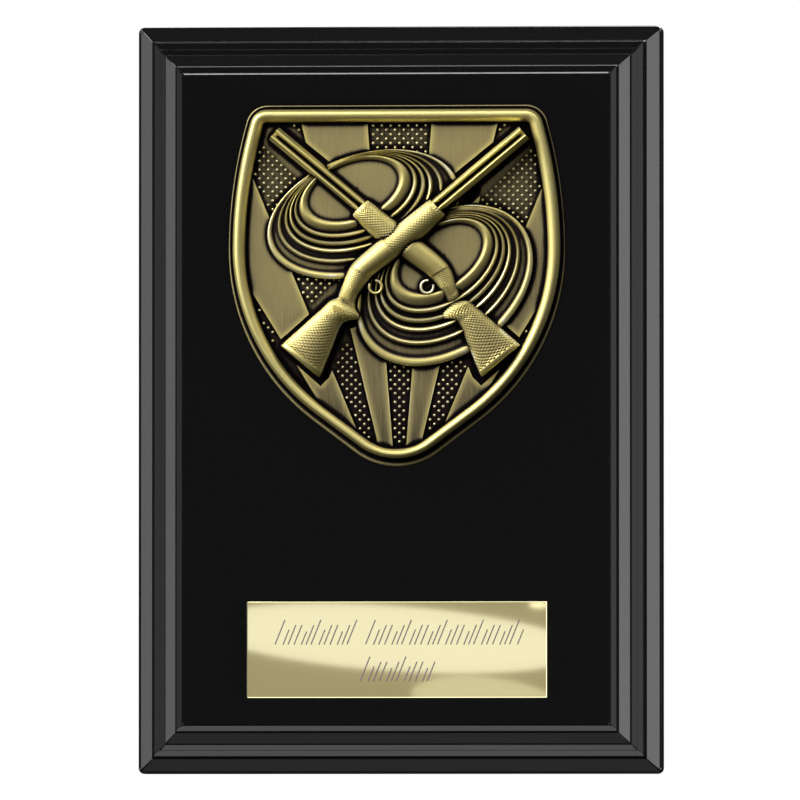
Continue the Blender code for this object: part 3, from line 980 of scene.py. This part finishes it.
def matt_black_styrene():
    """The same moulding where the tool was left as machined."""
    material, tree, shader = new_material("matt black polystyrene")
    shader.inputs["Base Color"].default_value = linear("#2a2a2c")
    shader.inputs["Roughness"].default_value = 0.6
    shader.inputs["IOR"].default_value = 1.59
    place = add_node(tree, "ShaderNodeTexCoord")
    # the cutter's texture, just over half a millimetre
    grain = add_node(tree, "ShaderNodeTexNoise", {"Scale": 1.8 / MM}, Vector=place.outputs["Object"])
    bump_node = add_node(tree, "ShaderNodeBump", {"Strength": 0.3, "Distance": 0.05 * MM},
                         Height=grain.outputs["Fac"])
    tree.links.new(bump_node.outputs["Normal"], shader.inputs["Normal"])
    return material


def polished_brass():
    """Rolled brass sheet, polished and lacquered: a soft mirror with the faint
    marks of the rolling along it."""
    material, tree, shader = new_material("polished brass sheet")
    shader.inputs["Base Color"].default_value = linear("#f7f0bc")
    shader.inputs["Metallic"].default_value = 1.0
    place = add_node(tree, "ShaderNodeTexCoord")
    # marks a third of a millimetre apart and 17 mm long
    stretch = add_node(tree, "ShaderNodeMapping", {"Scale": (0.06 / MM, 0.06 / MM, 3.0 / MM)},
                       Vector=place.outputs["Object"])
    lines = add_node(tree, "ShaderNodeTexNoise", {"Scale": 1.0, "Detail": 2.0},
                     Vector=stretch.outputs["Vector"])
    film = add_node(tree, "ShaderNodeMapRange", {"To Min": 0.045, "To Max": 0.065},
                    Value=lines.outputs["Fac"])
    tree.links.new(film.outputs["Result"], shader.inputs["Roughness"])
    return material


def engraved_brass():
    """Brass laid open by a diamond point: a dull, slightly violet grey line."""
    material, tree, shader = new_material("diamond cut brass")
    shader.inputs["Base Color"].default_value = linear("#8d7e81")
    shader.inputs["Metallic"].default_value = 1.0
    shader.inputs["Roughness"].default_value = 0.55
    place = add_node(tree, "ShaderNodeTexCoord")
    # six tears of the point to the millimetre
    grain = add_node(tree, "ShaderNodeTexNoise", {"Scale": 6.0 / MM}, Vector=place.outputs["Object"])
    bump_node = add_node(tree, "ShaderNodeBump", {"Strength": 0.2, "Distance": 0.02 * MM},
                         Height=grain.outputs["Fac"])
    tree.links.new(bump_node.outputs["Normal"], shader.inputs["Normal"])
    return material


def pale_floor():
    """Matt white card under the plaque."""
    material, tree, shader = new_material("matt white card")
    shader.inputs["Base Color"].default_value = linear("#e9e8e5")
    shader.inputs["Roughness"].default_value = 0.9
    return material


# Studio

def facing(turn, rise):
    """The direction from the plaque out to a point of the studio."""
    a, e = radians(turn), radians(rise)
    return Vector((sin(a) * cos(e), -cos(a) * cos(e), sin(e)))


def make_camera():
    """The camera at the photograph's viewing angle."""
    data = bpy.data.cameras.new("camera")
    data.sensor_width = SENSOR
    data.lens = SENSOR * CAMERA_DISTANCE / VIEW_WIDTH
    data.clip_start = 0.01
    data.clip_end = 20.0
    camera = bpy.data.objects.new("camera", data)
    bpy.context.scene.collection.objects.link(camera)
    out = facing(CAMERA_TURN, CAMERA_RISE)
    camera.location = Vector(CAMERA_TARGET) + out * CAMERA_DISTANCE
    camera.rotation_euler = (-out).to_track_quat("-Z", "Y").to_euler()
    bpy.context.scene.camera = camera


def soft_light(name, shape, width, height, brightness, colour="#ffffff"):
    """A soft light. Its brightness is what a mirror shows of it."""
    data = bpy.data.lights.new(name, "AREA")
    data.shape = shape
    data.size = width
    data.size_y = height
    data.energy = brightness * pi * width * height * (pi / 4 if shape == "ELLIPSE" else 1.0)
    data.color = linear(colour)[:3]
    lamp = bpy.data.objects.new(name, data)
    lamp.visible_camera = False
    bpy.context.scene.collection.objects.link(lamp)
    return lamp


def only_on(lamp, piece):
    """Keep a light to one piece, as flags and cards do in a studio."""
    name = piece.name + "_light"
    group = bpy.data.collections.get(name)
    if group is None:
        group = bpy.data.collections.new(name)
        group.objects.link(piece)
    lamp.light_linking.receiver_collection = group


def softbox(name, piece, turn, rise, distance, width, height, brightness, start=(0.0, 0.0, 0.0)):
    """A soft light for one piece, out in a direction from the start."""
    lamp = soft_light(name, "RECTANGLE", width, height, brightness)
    out = facing(turn, rise)
    lamp.location = Vector(start) + out * distance
    lamp.rotation_euler = (-out).to_track_quat("-Z", "Y").to_euler()
    only_on(lamp, piece)


def plate_card(name, shape, distance, x, z, width, height, tilt, brightness, colour="#ffffff"):
    """A small card close in front of the engraving plate, placed by what the
    camera sees of it in the plate, in millimetres from the plate's middle."""
    lamp = soft_light(name, shape, width * MM, height * MM, brightness, colour)
    only_on(lamp, plate)
    eye = Vector(CAMERA_TARGET) + facing(CAMERA_TURN, CAMERA_RISE) * CAMERA_DISTANCE
    spot = Vector((PLATE_X + x * MM, -(PANEL_LEVEL + SEAT_GAP + PLATE_THICKNESS), PLATE_Z + z * MM))
    ray = spot - eye
    share = distance / ray.y
    lamp.location = (spot.x + ray.x * share, spot.y - distance, spot.z + ray.z * share)
    lamp.rotation_euler = (pi / 2, -radians(tilt), 0.0)


def make_world():
    """White behind the plaque, and a dim room for what the surfaces reflect."""
    world = bpy.data.worlds.new("studio")
    bpy.context.scene.world = world
    world.use_nodes = True
    tree = world.node_tree
    tree.nodes.clear()
    sight = add_node(tree, "ShaderNodeLightPath")
    place = add_node(tree, "ShaderNodeTexCoord")
    parts = add_node(tree, "ShaderNodeSeparateXYZ", Vector=place.outputs["Generated"])
    glow = add_node(tree, "ShaderNodeMapRange", {"From Min": -0.6, "From Max": 1.0, "To Min": 0.02,
                                                 "To Max": 0.09}, Value=parts.outputs["Z"])
    behind = add_node(tree, "ShaderNodeMapRange", {"From Min": -0.2, "From Max": 0.5, "To Min": 1.0,
                                                   "To Max": 0.3}, Value=parts.outputs["Y"])
    level = add_node(tree, "ShaderNodeMath", {"operation": "MULTIPLY"})
    tree.links.new(glow.outputs["Result"], level.inputs[0])
    tree.links.new(behind.outputs["Result"], level.inputs[1])
    room = add_node(tree, "ShaderNodeBackground", {"Color": linear("#ffffff")},
                    Strength=level.outputs["Value"])
    paper = add_node(tree, "ShaderNodeBackground", {"Color": linear("#ffffff"), "Strength": 1.0})
    mix = add_node(tree, "ShaderNodeMixShader", Fac=sight.outputs["Is Camera Ray"])
    tree.links.new(room.outputs["Background"], mix.inputs[1])
    tree.links.new(paper.outputs["Background"], mix.inputs[2])
    add_node(tree, "ShaderNodeOutputWorld", Surface=mix.outputs["Shader"])


def make_floor():
    """A pale floor that the plaque doesn't mirror, with a light of its own."""
    bm = bmesh.new()
    bmesh.ops.create_grid(bm, x_segments=1, y_segments=1, size=FLOOR_HALF)
    bmesh.ops.translate(bm, vec=(0.0, 0.0, FLOOR_Z), verts=bm.verts)
    floor = new_object("floor", bm, fix_normals=False)
    floor.data.materials.append(pale_floor())
    floor.visible_glossy = False
    floor.visible_diffuse = False
    floor.visible_shadow = False
    lamp = soft_light("floor light", "RECTANGLE", FLOOR_LIGHT_WIDTH, FLOOR_LIGHT_WIDTH, 1.5)
    lamp.location = (0.0, 0.0, FLOOR_LIGHT_Z)
    only_on(lamp, floor)


make_camera()
make_world()
make_floor()
bpy.context.scene.view_settings.view_transform = "Standard"

body = make_body()
body.data.materials.clear()
body.data.materials.append(gloss_black_styrene())
body.data.materials.append(matt_black_styrene())
# What faces the wall, the back and the keyhole's floor, is left matt
for polygon in body.data.polygons:
    polygon.material_index = 1 if polygon.normal.y > 0.5 else 0
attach(body, "root")
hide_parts("plaque_body")

plate = make_plate()
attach(plate, "root")
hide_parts("engraving_plate")

shield = make_shield()
shield.data.materials.clear()
shield.data.materials.append(antique_gold())
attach(shield, "root")
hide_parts("relief_shield")

# Lights for the black body: what its steps and bevels mirror
softbox("body left", body, -78, 4, 1.0, 0.34, 1.1, 1.65)
softbox("body right", body, 69, 4, 1.0, 0.34, 1.1, 2.6)
softbox("body front left", body, -27, 0, 1.0, 0.22, 1.2, 0.5)
softbox("body front right", body, 18, 0, 1.0, 0.24, 1.2, 0.8)
softbox("body above", body, 0, 91.5, 0.9, 1.2, 0.11, 6.5)
softbox("body corner", body, -67, 43, 1.0, 0.16, 0.16, 9.0)
softbox("body behind", body, 155, 40, 1.0, 0.8, 0.6, 8.0)
softbox("body low card", body, -5, -22, 1.0, 1.0, 0.46, 1.35, (0.0, 0.0, -0.058))
softbox("body floor card", body, -5, -72, 0.7, 1.0, 0.3, 0.30)

# Lights for the gold relief, mostly from the upper left
softbox("relief key", shield, -56, 33, 1.0, 0.8, 0.6, 9.8)
softbox("relief top", shield, 10, 60, 1.0, 0.6, 0.4, 4.2)
softbox("relief front", shield, -5, 5, 1.2, 0.9, 0.8, 0.45)
softbox("relief left", shield, -72, 8, 1.0, 0.3, 0.8, 1.8)
softbox("relief right", shield, 58, 38, 1.0, 0.4, 0.6, 1.9)

# Lights for the brass plate, and the cards that it mirrors
softbox("plate above", plate, 0, 62, 0.9, 1.2, 1.2, 2.5)
softbox("plate below", plate, 0, -62, 0.9, 1.2, 1.2, 2.0)
softbox("plate right", plate, 55, 0, 0.9, 1.2, 1.2, 2.2)
plate_card("plate card", "RECTANGLE", 0.100, 0.0, 0.0, 54.0, 18.5, 0.0, 0.35, "#fff3df")
plate_card("plate glow", "ELLIPSE", 0.096, -1.0, 1.9, 66.0, 11.2, -4.0, 0.72, "#e8ecff")
plate_card("plate corner glow", "ELLIPSE", 0.092, 15.0, -8.5, 26.0, 8.0, -6.0, 0.30)
plate_card("plate spark", "ELLIPSE", 0.088, 23.6, 7.4, 3.2, 1.1, 0.0, 1.1)
